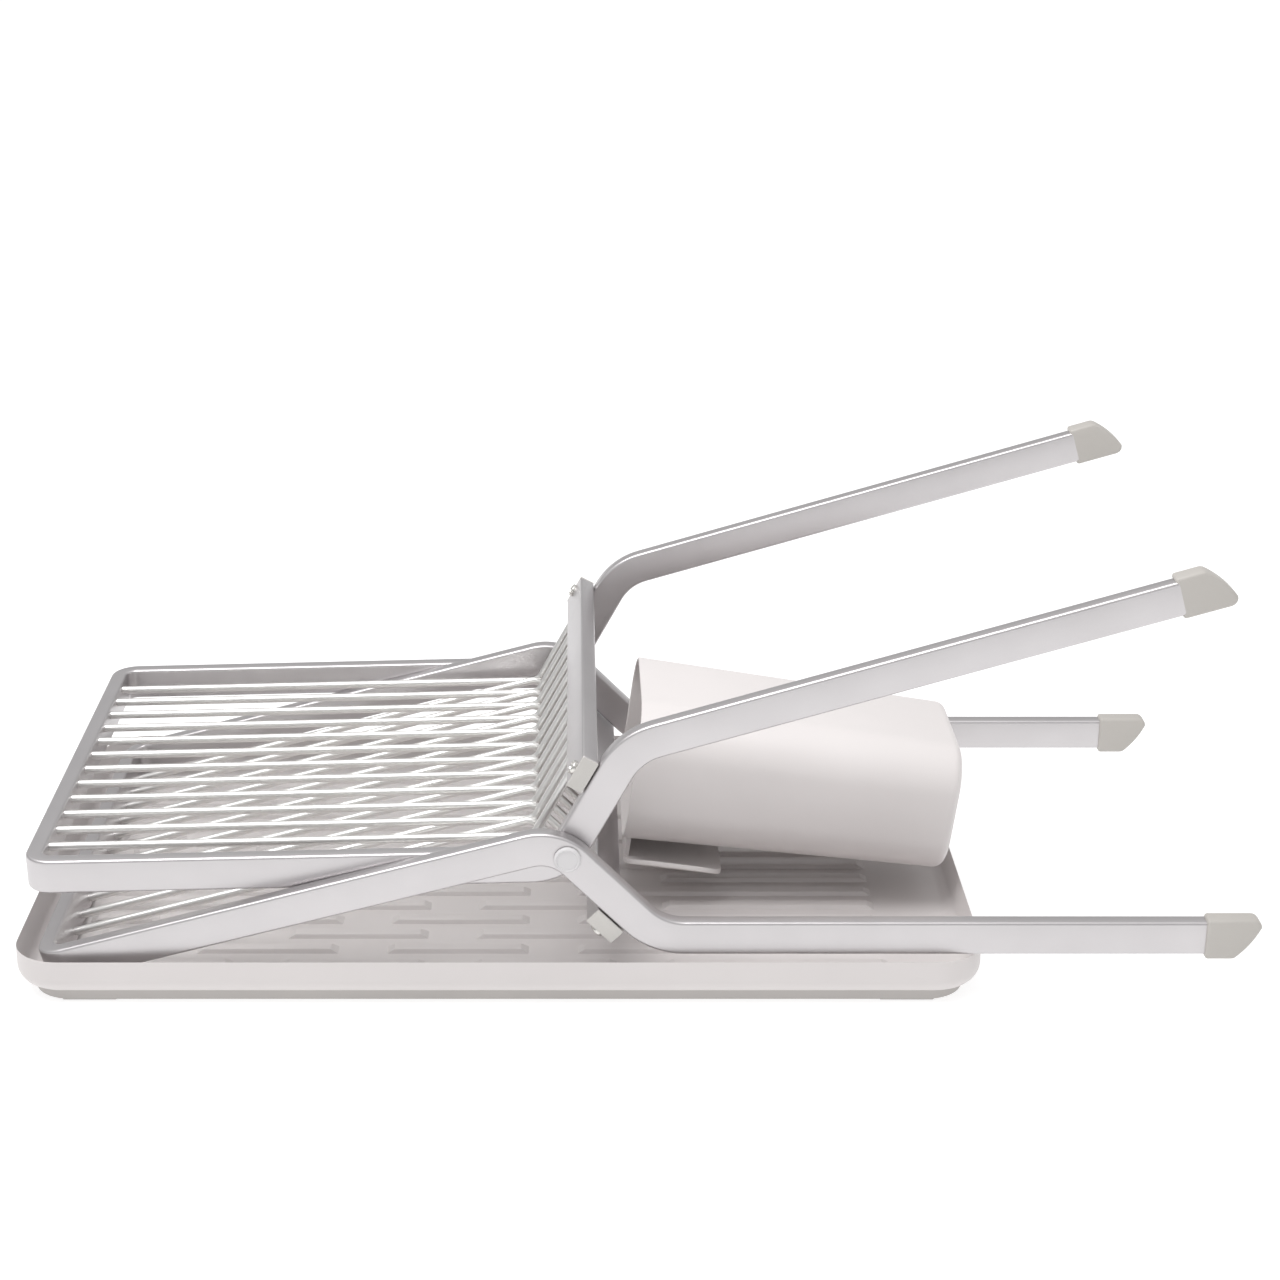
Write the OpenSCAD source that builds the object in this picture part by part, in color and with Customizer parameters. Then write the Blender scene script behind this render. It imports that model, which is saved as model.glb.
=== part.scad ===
// Folding drying rack, laid on its side in its own drip tray with a utensil cup.
// Two identical bent frames cross at a pivot; each carries twelve wires.
// Millimetres. +X towards the feet, +Y away from the front, +Z up.
// The origin is the middle of the ground that the whole object covers.

/* [Tray] */
// Length of the tray over its rim
tray_l = 472; // [430:1:560]
// Corner radius of the tray in plan
tray_r = 24; // [18:1:36]
// Width of the rim, which is also the side wall's thickness
rim_t = 4; // [3:0.5:6]
// Radius of the tray's outer bottom edge
tray_edge_r = 9; // [4:1:12]
// Thickness of the tray floor
floor_t = 1.8; // [1.4:0.1:3]
// Height of the grey band under the tray
band_h = 5.4; // [4:0.2:9]
// How far the band is set in from the tray's outer wall
band_inset = 8; // [4:1:14]
// Wall of the band
band_t = 5; // [3:0.5:8]
// How far the feet stand out below the band
foot_h = 0.6; // [0.4:0.1:2]
// Length of a foot along the tray
foot_l = 26; // [16:1:40]

/* [Drain ribs] */
// Length of a rib
rib_l = 72; // [50:1:100]
// Gap between two ribs in a row
rib_gap = 23; // [12:1:40]
// Spacing of the rows
rib_pitch = 16.4; // [12:0.2:24]
// Width of a rib
rib_w = 8.5; // [5:0.5:10]
// Height of a rib
rib_h = 2.2; // [1:0.1:2.6]
// Smooth floor left at the end where the feet are
rib_free = 39; // [20:1:80]
// Start of the rib nearest the middle, in the rows that aren't shifted
rib_start = -57; // [-90:1:0]
// Shift of every other row
rib_shift = 44; // [20:1:60]

/* [Frames] */
// Width of one frame, over its two side bars
frame_w = 268.5; // [210:0.5:330]
// Height of the bar's section
bar_h = 17; // [14:0.5:20]
// Thickness of the bar's section
bar_t = 8.5; // [6:0.5:11]
// Outer radius of the loop's corners
loop_r = 14; // [12:1:24]
// Arm, from the loop's outer face to the bend at the pivot
arm_len = 259; // [200:1:320]
// First part of the leg, from the pivot bend to the knee
thigh_len = 69.5; // [62:0.5:90]
// Second part of the leg, from the knee to the foot cap's shoulder
shin_len = 264; // [200:2:330]
// Bend at the pivot
pivot_bend = 60; // [54:1:66]
// Bend at the knee
knee_bend = 45; // [40:1:50]
// Centreline radius of the bend at the pivot
pivot_bend_r = 23; // [16:1:30]
// Centreline radius of the bend at the knee
knee_bend_r = 32; // [18:1:40]
// Angle between the two frames' legs as the rack lies in the tray
spread = 16.4; // [12:0.2:22]
// Side gap between the two frames' bars
frame_gap = 0.7; // [0.6:0.1:2]

/* [Wires] */
// Number of wires in one frame
wire_n = 12; // [8:1:12]
// Diameter of a wire
wire_d = 4.2; // [3:0.1:5]
// Bend radius of a wire, to its centreline
wire_bend_r = 7; // [5:0.5:10]
// How far the wires lie off the middle of the arm, towards the crossbar's side
wire_drop = 4; // [0:0.5:5]
// How far a wire's end goes into the bar that holds it
wire_in = 3; // [2:0.5:4]

/* [Crossbar] */
// Length of the first leg part before the crossbar, from the pivot bend
crossbar_at = 38.5; // [34:0.5:40]
// Gap between the crossbar and the edge of the leg
crossbar_gap = 0.6; // [0.3:0.1:1.5]
// Wall of the crossbar's tube
tube_t = 1.5; // [1:0.1:2.2]
// Depth of an end plug inside the tube
plug_in = 9; // [5:0.5:14]
// Thickness of the end plug's head
plug_head = 1.5; // [1:0.1:3]
// Diameter of the screws that hold the crossbar
screw_d = 4; // [3:0.5:4.5]
// Diameter of the screw head
screw_head_d = 7; // [6:0.5:8]
// Height of the screw head
screw_head_h = 2; // [1.5:0.1:3]

/* [Pivot] */
// Distance of the pivot from the bend, along the first leg part
pivot_at = 9; // [5:0.5:10]
// How far the pivot lies off the leg's middle, towards the arm's side
pivot_off = 0.8; // [0:0.1:1.5]
// Diameter of the pivot pin
pin_d = 6; // [5:0.5:7]
// Diameter of the round cap over the pin
pivot_cap_d = 13; // [10:0.5:15]
// Thickness of the pivot cap
pivot_cap_h = 2.2; // [1.6:0.1:3]
// Diameter of the pin's inner head
pin_head_d = 11; // [9:0.5:13]
// Thickness of the pin's inner head
pin_head_h = 1.5; // [1:0.1:2.5]

/* [Foot caps] */
// Wall of the foot cap round the bar
cap_wall = 1.75; // [1:0.25:2.5]
// Short side of the foot cap, past its shoulder
cap_len = 14; // [12:0.5:20]
// How far the foot's face bulges
cap_bulge = 1.2; // [0.5:0.1:2]
// Depth of the bar's end inside the cap
cap_in = 9; // [6:0.5:10]
// Radius of the foot cap's long tip
cap_tip_r = 4; // [3:0.5:6]

/* [Cup] */
// Length of the cup, from mouth to base
cup_len = 166; // [120:1:200]
// Width of the mouth, across the rack
cup_mouth_w = 104; // [80:1:130]
// Height of the mouth
cup_mouth_h = 75.5; // [60:0.5:86]
// Width of the base, across the rack
cup_base_w = 98; // [70:1:120]
// Height of the base
cup_base_h = 68; // [50:1:80]
// Corner radius of the cup's section
cup_r = 24; // [12:1:28]
// Wall of the cup
cup_wall = 2; // [1.5:0.1:3]
// Tilt of the cup's axis as it lies in the tray
cup_tilt = 7.5; // [5:0.5:9]
// How far the cup lies off the middle, towards the front
cup_off = 10; // [0:1:20]
// Length of the hanging hook along the cup
hook_l = 51; // [25:1:60]
// Width of the hanging hook
hook_w = 96; // [60:1:104]
// Thickness of the hook
hook_t = 2.5; // [2:0.1:4]
// Space between the hook and the cup's wall
hook_gap = 10.5; // [6:0.5:12]
// Distance of the hook behind the cup's mouth
hook_at = 2.5; // [1:0.5:6]
// Radius of the hook's corners in plan
hook_r = 15; // [8:1:20]

/* [Clearances] */
// Radial clearance of a pin or wire in its hole
fit = 0.05; // [0.02:0.01:0.1]
// Clearance of parts that are pushed together
seat = 0.15; // [0.1:0.05:0.3]
// Clearance of parts that lie on or beside each other
rest = 0.4; // [0.3:0.1:1]
// Space between the rack's sides and the tray's walls
side_clear = 1.5; // [1:0.5:6]
// Space between the loops and the tray's end wall
end_clear = 7.5; // [2:0.5:12]
// Space between the cup's mouth and the crossbar
lip_clear = 0.8; // [0.6:0.1:8]

/* [Hidden] */
WIRES = [for (f = ["a", "b"]) for (i = [1:wire_n]) str("frame_", f, "_wire_", i)];

aluminium = "#d8d7da";
wire_white = "#ededea";
warm_grey = "#cbc7c1";
tray_white = "#e3dedc";
band_grey = "#a8a6a2";
cup_white = "#e8e4e2";

eps = 0.01;
steps = 10;                                     // straight stretches in one rounded bend
arc_fn = 64;

// directions and normals in a frame's own side view, with the second leg part along +x
arm_dir = pivot_bend - knee_bend;
thigh_dir = -knee_bend;
function along(a) = [cos(a), sin(a)];
function left_of(a) = [-sin(a), cos(a)];
function len2(v) = sqrt(v[0] * v[0] + v[1] * v[1]);

// corners of the centreline, with the pivot at zero
bend_corner = -pivot_at * along(thigh_dir) + pivot_off * left_of(thigh_dir);
knee_corner = bend_corner + thigh_len * along(thigh_dir);
loop_end = bend_corner - arm_len * along(arm_dir);
bar_end = knee_corner + [shin_len + cap_in, 0];
foot_angle = (90 - spread) / 2;                 // makes the feet level with the rack open
cap_h = bar_h + 2 * cap_wall;
cap_tip = cap_len + (cap_h - cap_tip_r) * tan(foot_angle);

// the crossbar lies on the arm's side of the first leg part
crossbar_off = bar_h / 2 + crossbar_gap + bar_t / 2;
crossbar_mid = bend_corner + (crossbar_at + bar_h / 2) * along(thigh_dir)
    - crossbar_off * left_of(thigh_dir);
crossbar_right = bend_corner + (crossbar_at + bar_h) * along(thigh_dir)
    - (bar_h / 2 + crossbar_gap) * left_of(thigh_dir);

// overall sizes
frame_step = bar_t + frame_gap;
rack_w = frame_w + frame_step;
tray_w = rack_w + 2 * (side_clear + rim_t);
leg_low = knee_corner[1] - bar_h / 2;
loop_low = loop_end[1] - bar_h / 2 * cos(arm_dir);
loop_left = loop_end[0] - bar_h / 2 * sin(arm_dir);

// heights of the tray, deep enough for the loop to lie on its floor with the legs level over its rim
band_z = foot_h;
body_z = band_z + band_h;
floor_z = body_z + floor_t;
rim_z = floor_z + leg_low - loop_low;

// the pivot's place, with the tray's middle at x = 0
pivot_x = -tray_l / 2 + rim_t + end_clear - loop_left;
pivot_z = rim_z + rest - leg_low;
feet_x = pivot_x + knee_corner[0] + shin_len + cap_tip;
x_mid = (feet_x - tray_l / 2) / 2;

// wires are spread evenly between the side bars
wire_pitch = (frame_w - 2 * bar_t) / (wire_n + 1);
function wire_y(i) = bar_t + wire_pitch * i;
wire_corner_s = (crossbar_off - wire_drop * cos(pivot_bend)) / -sin(pivot_bend);
wire_corner = bend_corner + wire_corner_s * along(arm_dir) - wire_drop * left_of(arm_dir);
wire_arm_len = arm_len - bar_t + wire_in + wire_corner_s;
wire_corner_t = wire_corner_s * cos(pivot_bend) + wire_drop * sin(pivot_bend);
wire_thigh_len = crossbar_at + wire_in - wire_corner_t;
wire_cut = wire_bend_r * tan(pivot_bend / 2);
wire_lap = 0.3;

// the cup's mouth lies beside the crossbar, and its underside clears the rim
cup_under = cup_tilt - atan((cup_mouth_h - cup_base_h) / 2 / cup_len);
lip_x = pivot_x + crossbar_right[0] + lip_clear;
lip_z = rim_z + rest + (tray_l / 2 - rim_t - lip_x) * tan(cup_under);

// ---- helpers ----

// a slab of a side-view outline, from y0 over a thickness h
module side_slab(y0, h) {
    translate([0, y0 + h, 0])
        rotate([90, 0, 0])
            linear_extrude(h)
                children();
}

// points of a bend's edge, at a signed distance s to the left of the centreline
function bend_edge(corner, from_dir, turn, r, s) =
    let (
        side = sign(turn),
        start = corner - r * tan(abs(turn) / 2) * along(from_dir),
        centre = start + side * r * left_of(from_dir)
    )
    [for (i = [0:steps]) centre - side * (r - side * s) * left_of(from_dir + turn * i / steps)];

function reversed(v) = [for (i = [len(v) - 1:-1:0]) v[i]];

function bar_edge(s) = concat(
    [loop_end + s * left_of(arm_dir)],
    bend_edge(bend_corner, arm_dir, -pivot_bend, pivot_bend_r, s),
    bend_edge(knee_corner, thigh_dir, knee_bend, knee_bend_r, s),
    [bar_end + [0, s]]
);

function arc_points(cx, cy, r, a0, a1, n) =
    [for (i = [0:n]) [cx + r * cos(a0 + (a1 - a0) * i / n), cy + r * sin(a0 + (a1 - a0) * i / n)]];

function round_rect(w, h, r, n) = concat(
    arc_points(w / 2 - r, h / 2 - r, r, 0, 90, n),
    arc_points(-w / 2 + r, h / 2 - r, r, 90, 180, n),
    arc_points(-w / 2 + r, -h / 2 + r, r, 180, 270, n),
    arc_points(w / 2 - r, -h / 2 + r, r, 270, 360, n)
);

// a solid with a rounded plan: profile holds [offset from the outer edge, z] from bottom to top
module pan(l, w, r, profile) {
    last = len(profile) - 1;
    for (sx = [-1, 1]) for (sy = [-1, 1])
        translate([sx * (l / 2 - r), sy * (w / 2 - r), 0])
            rotate([0, 0, sx > 0 ? (sy > 0 ? 0 : 270) : (sy > 0 ? 90 : 180)])
                rotate_extrude(angle = 90, $fn = arc_fn)
                    polygon(concat(
                        [[0, profile[0][1]]],
                        [for (p = profile) [r + p[0], p[1]]],
                        [[0, profile[last][1]]]
                    ));
    translate([-l / 2 + r, 0, 0])
        rotate([90, 0, 90])
            linear_extrude(l - 2 * r)
                pan_section(w / 2, profile);
    translate([0, w / 2 - r, 0])
        rotate([90, 0, 0])
            linear_extrude(w - 2 * r)
                pan_section(l / 2, profile);
}

module pan_section(half, profile)
    polygon(concat(
        [for (p = profile) [half + p[0], p[1]]],
        reversed([for (p = profile) [-half - p[0], p[1]]])
    ));

module pan_block(l, w, r, z0, z1)
    pan(l, w, r, [[0, z0], [0, z1]]);

// puts a part drawn round the tray's middle, or in a frame's own view, in its place
module in_tray()
    translate([-x_mid, 0, 0])
        children();

module in_frame(f) {
    in_tray()
        if (f == "a")
            translate([pivot_x, -rack_w / 2, pivot_z])
                children();
        else
            translate([pivot_x, rack_w / 2, pivot_z])
                rotate([0, -spread, 0])
                    rotate([180, 0, 0])
                        children();
}

// ---- tray ----

module tray_outer() {
    edge = arc_points(-tray_edge_r, body_z + tray_edge_r, tray_edge_r, -90, 0, 8);
    crown = arc_points(-rim_t / 2, rim_z - rim_t / 2, rim_t / 2, 0, 90, 6);
    pan(tray_l, tray_w, tray_r, concat(edge, crown));
}

module tray_hollow() {
    floor_r = 5;
    bend = arc_points(-rim_t - floor_r, floor_z + floor_r, floor_r, -90, 0, 6);
    pan(tray_l, tray_w, tray_r, concat(bend, crown_inside()));
}

// the inner half of the rounded rim, as the hollow's upper edge
function crown_inside() = concat(
    [for (i = [0:6]) [
        -rim_t / 2 - rim_t / 2 * cos(90 * i / 6),
        rim_z - rim_t / 2 + rim_t / 2 * sin(90 * i / 6)
    ]],
    [[-rim_t / 2, rim_z + 1]]
);

module rib(length) {
    side_slab(-rib_w / 2, rib_w)
        polygon([
            [0, -eps], [length, -eps], [length, rib_h / 4],
            [length - 2 * rib_h, rib_h], [2 * rib_h, rib_h], [0, rib_h / 4]
        ]);
}

module ribs() {
    right_end = tray_l / 2 - rim_t - rib_free;
    left_end = -tray_l / 2 + rim_t + end_clear + bar_h * sin(arm_dir) + bar_t + 1;
    period = rib_l + rib_gap;
    rows = floor((tray_w / 2 - rim_t - 12) / rib_pitch);
    for (row = [-rows:rows])
        for (k = [-5:5]) {
            start = rib_start + k * period + (row % 2 == 0 ? 0 : rib_shift);
            long = start > right_end - 2.3 * rib_l;
            first = max(start, left_end);
            stop = long ? right_end : start + rib_l;
            if (start < right_end - 1.05 * rib_l && stop > left_end + 3 * rib_w)
                translate([first, row * rib_pitch, floor_z])
                    rib(stop - first);
        }
}

module tray_body()
    color(tray_white)
        in_tray() {
            difference() {
                tray_outer();
                tray_hollow();
            }
            ribs();
        }

module tray_base_band()
    color(band_grey)
        in_tray()
            difference() {
                inset = 2 * band_inset;
                hole = inset + 2 * band_t;
                pan_block(tray_l - inset, tray_w - inset, tray_r - band_inset / 2, band_z, body_z);
                pan_block(tray_l - hole, tray_w - hole, tray_r - band_inset / 2 - band_t,
                    band_z - 1, body_z + 1);
            }

module tray_feet()
    color(band_grey)
        in_tray()
            for (sx = [-1, 1]) for (sy = [-1, 1])
                translate([sx * (tray_l / 2 - tray_r - foot_l / 2), sy * (tray_w / 2 - band_inset - band_t / 2),
                    band_z / 2])
                    cube([foot_l, band_t - 1, foot_h], center = true);

// ---- frames ----

// places its children in the plane of the arm, with x along it and zero at the bend
module in_arm()
    translate([bend_corner[0], 0, bend_corner[1]])
        rotate([0, -arm_dir, 0])
            children();

module in_thigh()
    translate([bend_corner[0], 0, bend_corner[1]])
        rotate([0, knee_bend, 0])
            children();

module y_rod(d, y0, h)
    translate([0, y0, 0])
        rotate([-90, 0, 0])
            cylinder(d = d, h = h, $fn = 32);

// the U that a frame makes in plan, much longer than it is needed
function loop_plan(inset) =
    let (r = loop_r - inset, w = frame_w - inset)
    concat(
        [[arm_len + shin_len, inset]],
        arc_points(loop_r - arm_len, loop_r, r, 270, 180, 14),
        arc_points(loop_r - arm_len, frame_w - loop_r, r, 180, 90, 14),
        [[arm_len + shin_len, w]]
    );

module bar(pin_clear) {
    sides = [0, frame_w - bar_t];
    difference() {
        intersection() {
            side_slab(-1, frame_w + 2)
                polygon(concat(bar_edge(bar_h / 2), reversed(bar_edge(-bar_h / 2))));
            in_arm()
                translate([0, 0, -arm_len - thigh_len])
                    linear_extrude(2 * arm_len + 2 * thigh_len)
                        difference() {
                            polygon(loop_plan(0));
                            polygon(loop_plan(bar_t));
                        }
        }
        for (y = sides) {
            y_rod(pin_d + 2 * pin_clear, y - 1, bar_t + 2);
            translate([bar_end[0] - cap_in - eps, y + bar_t / 2 - tongue_t() / 2 - seat,
                bar_end[1] - tongue_h() / 2 - seat])
                cube([cap_in + 1, tongue_t() + 2 * seat, tongue_h() + 2 * seat]);
            in_thigh()
                translate([crossbar_at + bar_h / 2, y + bar_t / 2, -bar_h / 2 - 1])
                    cylinder(d = screw_d + 2 * fit, h = screw_grip() + 1, $fn = 24);
        }
        in_arm()
            for (i = [1:wire_n])
                translate([-arm_len + bar_t - wire_in - seat, wire_y(i), -wire_drop])
                    rotate([0, 90, 0])
                        cylinder(d = wire_d + 2 * fit, h = wire_in + seat + 1, $fn = 24);
    }
}

function tongue_t() = bar_t - 2 * tube_t;
function tongue_h() = bar_h - 2 * tube_t;
function screw_grip() = bar_h * 0.6;

module frame_bar(f)
    color(aluminium)
        in_frame(f)
            bar(fit);

module crossbar()
    in_thigh()
        difference() {
            z0 = -crossbar_off - bar_t / 2;
            translate([crossbar_at, plug_head, z0])
                cube([bar_h, frame_w - 2 * plug_head, bar_t]);
            translate([crossbar_at + tube_t, -1, z0 + tube_t])
                cube([tongue_h(), frame_w + 2, tongue_t()]);
            for (i = [1:wire_n])
                translate([crossbar_at - 1, wire_y(i), -crossbar_off])
                    rotate([0, 90, 0])
                        cylinder(d = wire_d + 2 * fit, h = tube_t + 2, $fn = 24);
            for (y = [bar_t / 2, frame_w - bar_t / 2])
                translate([crossbar_at + bar_h / 2, y, z0 - 1])
                    cylinder(d = screw_d + 2 * fit, h = bar_t + 2, $fn = 24);
        }

module frame_crossbar(f)
    color("#d3cfcf")
        in_frame(f)
            crossbar();

// an end plug: a head flush with the leg's outer face and a block inside the tube
module plug(back) {
    head_y = back ? frame_w - plug_head : 0;
    block_y = back ? frame_w - plug_head - plug_in : plug_head - eps;
    z0 = -crossbar_off - bar_t / 2;
    in_thigh()
        difference() {
            union() {
                translate([crossbar_at, head_y, z0])
                    cube([bar_h, plug_head, bar_t]);
                translate([crossbar_at + tube_t + seat, block_y, z0 + tube_t + seat])
                    cube([tongue_h() - 2 * seat, plug_in + eps, tongue_t() - 2 * seat]);
            }
            translate([crossbar_at + bar_h / 2, back ? frame_w - bar_t / 2 : bar_t / 2, z0 - 1])
                cylinder(d = screw_d + 2 * fit, h = bar_t + 2, $fn = 24);
        }
}

module frame_plug(f, back)
    color("#c9c6c3")
        in_frame(f)
            plug(back);

module screw() {
    z0 = -crossbar_off - bar_t / 2;
    dome = screw_head_d / 2;
    translate([0, 0, z0 - screw_head_h])
        rotate_extrude($fn = 32)
            polygon(concat(
                [[0, screw_head_h], [dome, screw_head_h]],
                [for (i = [0:6]) [dome * cos(15 * i), (screw_head_h - 0.5) * (1 - sin(15 * i))]]
            ));
    translate([0, 0, z0 - eps])
        cylinder(d = screw_d, h = bar_t + crossbar_gap + screw_grip() - 1 + eps, $fn = 24);
}

module frame_screws(f)
    color("silver")
        in_frame(f)
            in_thigh()
                for (y = [bar_t / 2, frame_w - bar_t / 2])
                    translate([crossbar_at + bar_h / 2, y, 0])
                        screw();

// ---- wires ----

// one bent wire in its own plane, with the corner at zero; the bend is a hair thicker than the
// straights, which end just inside it
module flat_wire() {
    turn_c = -wire_cut * along(arm_dir) - wire_bend_r * left_of(arm_dir);
    rotate([0, 0, arm_dir])
        translate([-wire_arm_len, 0, 0])
            rotate([0, 90, 0])
                cylinder(d = wire_d, h = wire_arm_len - wire_cut + wire_lap, $fn = 24);
    translate([turn_c[0], turn_c[1], 0])
        rotate([0, 0, 90 + thigh_dir])
            rotate_extrude(angle = pivot_bend, $fn = arc_fn)
                translate([wire_bend_r, 0])
                    circle(d = wire_d + 0.04, $fn = 24);
    rotate([0, 0, thigh_dir])
        translate([wire_cut - wire_lap, 0, 0])
            rotate([0, 90, 0])
                cylinder(d = wire_d, h = wire_thigh_len - wire_cut + wire_lap, $fn = 24);
}

module frame_wire(f, i)
    color(wire_white)
        in_frame(f)
            translate([wire_corner[0], wire_y(i), wire_corner[1]])
                rotate([90, 0, 0])
                    flat_wire();

// ---- pivot ----

// the joint's axis in place; side is -1 at the front and 1 at the back, y runs outwards from the rack
module at_pivot(side)
    in_tray()
        translate([pivot_x, side * rack_w / 2, pivot_z])
            rotate([0, 0, side > 0 ? 0 : 180])
                children();

module pivot_pin(side)
    color("silver")
        at_pivot(side) {
            grip = 2 * bar_t + frame_gap;
            y_rod(pin_d, -grip - rest, grip + rest + pivot_cap_h / 2);
            y_rod(pin_head_d, -grip - rest - pin_head_h, pin_head_h + eps);
        }

module pivot_cap(side)
    color(warm_grey)
        at_pivot(side)
            rotate([-90, 0, 0])
                difference() {
                    r = pivot_cap_d / 2;
                    rotate_extrude($fn = 48)
                        polygon(concat(
                            [[0, rest], [r, rest]],
                            arc_points(r - 0.8, pivot_cap_h - 0.8, 0.8, 0, 90, 5),
                            [[0, pivot_cap_h + 0.2]]
                        ));
                    translate([0, 0, -1])
                        cylinder(d = pin_d + 2 * fit, h = 1 + pivot_cap_h / 2 + eps, $fn = 32);
                }

module pivot_washers()
    color("#c9c6c3")
        for (side = [-1, 1])
            at_pivot(side)
                difference() {
                    y_rod(pivot_cap_d, -bar_t - frame_gap + 0.1, frame_gap - 0.2);
                    y_rod(pin_d + 2 * fit, -bar_t - frame_gap - 1, frame_gap + 2);
                }

// ---- foot caps ----

function cap_profile() = concat(
    [[0, -cap_h / 2]],
    bulged([cap_len, -cap_h / 2], [cap_tip, cap_h / 2 - cap_tip_r], cap_bulge),
    arc_points(cap_tip - cap_tip_r, cap_h / 2 - cap_tip_r, cap_tip_r, 15, 90, 5),
    [[0, cap_h / 2]]
);

// a shallow curve from p to q, bulging to the right of that way
function bulged(p, q, b) =
    let (n = [q[1] - p[1], p[0] - q[0]] / len2(q - p))
    [for (i = [0:steps]) let (t = i / steps) p + t * (q - p) + 4 * b * t * (1 - t) * n];

module foot_cap() {
    translate([knee_corner[0] + shin_len, 0, knee_corner[1]]) {
        difference() {
            side_slab(-cap_wall, bar_t + cap_wall)
                polygon(cap_profile());
            translate([-1, -seat, -bar_h / 2 - seat])
                cube([cap_in + seat + 1, bar_t + 1 + 2 * seat, bar_h + 2 * seat]);
        }
        translate([eps, bar_t / 2 - tongue_t() / 2, -tongue_h() / 2])
            cube([cap_in + 1, tongue_t(), tongue_h()]);
    }
}

// every cap stands proud on the side away from the other frame's bar, so the legs can cross
module frame_foot(f, back)
    color(warm_grey)
        in_frame(f)
            translate([0, back ? frame_w - bar_t : 0, 0])
                foot_cap();

// ---- cup ----

// places its children along the cup's axis: x from the mouth to the base, the lip's underside at zero
module in_cup()
    in_tray()
        translate([lip_x, -cup_off, lip_z])
            rotate([0, cup_tilt, 0])
                translate([0, 0, cup_mouth_h / 2])
                    children();

module cup_slice(x, w, h, r)
    translate([x, 0, 0])
        rotate([90, 0, 90])
            linear_extrude(eps)
                polygon(round_rect(w, h, r, 7));

module cup_solid(inset, from, to) {
    function at(x, a, b) = a + (b - a) * x / cup_len - 2 * inset;
    edge = 5;
    hull() {
        cup_slice(from, at(from, cup_mouth_w, cup_base_w), at(from, cup_mouth_h, cup_base_h), cup_r - inset);
        cup_slice(to - edge, at(to - edge, cup_mouth_w, cup_base_w), at(to - edge, cup_mouth_h, cup_base_h),
            cup_r - inset);
        cup_slice(to - edge * 0.3, at(to, cup_mouth_w, cup_base_w) - edge * 0.6,
            at(to, cup_mouth_h, cup_base_h) - edge * 0.6, cup_r - inset - edge * 0.3);
        cup_slice(to - eps, at(to, cup_mouth_w, cup_base_w) - 2 * edge,
            at(to, cup_mouth_h, cup_base_h) - 2 * edge, cup_r - inset - edge);
    }
}

module cup()
    color(cup_white)
        in_cup()
            difference() {
                cup_solid(0, 0, cup_len);
                cup_solid(cup_wall, -1, cup_len - cup_wall);
            }

// the space round the cup's wall, from one distance to another
module hook_ring(inset, t)
    rotate([90, 0, 90])
        linear_extrude(hook_l)
            difference() {
                grow = 2 * inset;
                polygon(round_rect(cup_mouth_w + grow + 2 * t, cup_mouth_h + grow + 2 * t, cup_r + inset + t, 10));
                polygon(round_rect(cup_mouth_w + grow, cup_mouth_h + grow, cup_r + inset, 10));
            }

// the hook's outline in plan, as a block through the cup's lower half
module hook_plan(l)
    translate([0, 0, -cup_mouth_h])
        linear_extrude(cup_mouth_h)
            polygon(concat(
                arc_points(hook_r, hook_r - hook_w / 2, hook_r, 180, 270, 8),
                l < hook_l
                    ? [[l, -hook_w / 2], [l, hook_w / 2]]
                    : concat(
                        arc_points(l - hook_r, hook_r - hook_w / 2, hook_r, 270, 360, 8),
                        arc_points(l - hook_r, hook_w / 2 - hook_r, hook_r, 0, 90, 8)
                    ),
                arc_points(hook_r, hook_w / 2 - hook_r, hook_r, 90, 180, 8)
            ));

module cup_hook()
    color(cup_white)
        in_cup()
            translate([hook_at, 0, 0]) {
                intersection() {
                    hook_ring(hook_gap, hook_t);
                    hook_plan(hook_l);
                }
                intersection() {
                    hook_ring(seat, hook_gap + hook_t / 2 - seat);
                    translate([0, -hook_w / 2 + hook_r, -cup_mouth_h])
                        cube([hook_t, hook_w - 2 * hook_r, cup_mouth_h]);
                }
            }

// ---- one line for each node ----

tray_body();
tray_base_band();
tray_feet();
frame_bar("a");  // frame_a_bar
frame_bar("b");  // frame_b_bar
frame_crossbar("a");  // frame_a_crossbar
frame_crossbar("b");  // frame_b_crossbar
frame_plug("a", false);  // frame_a_plug_front
frame_plug("a", true);  // frame_a_plug_back
frame_plug("b", true);  // frame_b_plug_front
frame_plug("b", false);  // frame_b_plug_back
frame_screws("a");  // frame_a_screws
frame_screws("b");  // frame_b_screws
frame_foot("a", false);  // frame_a_foot_front
frame_foot("a", true);  // frame_a_foot_back
frame_foot("b", true);  // frame_b_foot_front
frame_foot("b", false);  // frame_b_foot_back
pivot_pin(-1);  // pivot_pin_front
pivot_pin(1);  // pivot_pin_back
pivot_cap(-1);  // pivot_cap_front
pivot_cap(1);  // pivot_cap_back
pivot_washers();
cup();
cup_hook();
for (f = ["a", "b"])
    for (i = [1:wire_n])
        frame_wire(f, i);
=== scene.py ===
# %% [markdown]
# # A folding drying rack in its drip tray
# Two bent aluminium frames cross at a pivot and carry rows of steel wire. Folded,
# they lie in a plastic drip tray beside a utensil cup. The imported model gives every
# place and joint, and this lesson builds each visible piece round it with bmesh,
# then its finish with shader nodes.
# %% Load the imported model
import bpy, bmesh, math
from math import radians
from mathutils import Matrix, Vector


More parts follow.
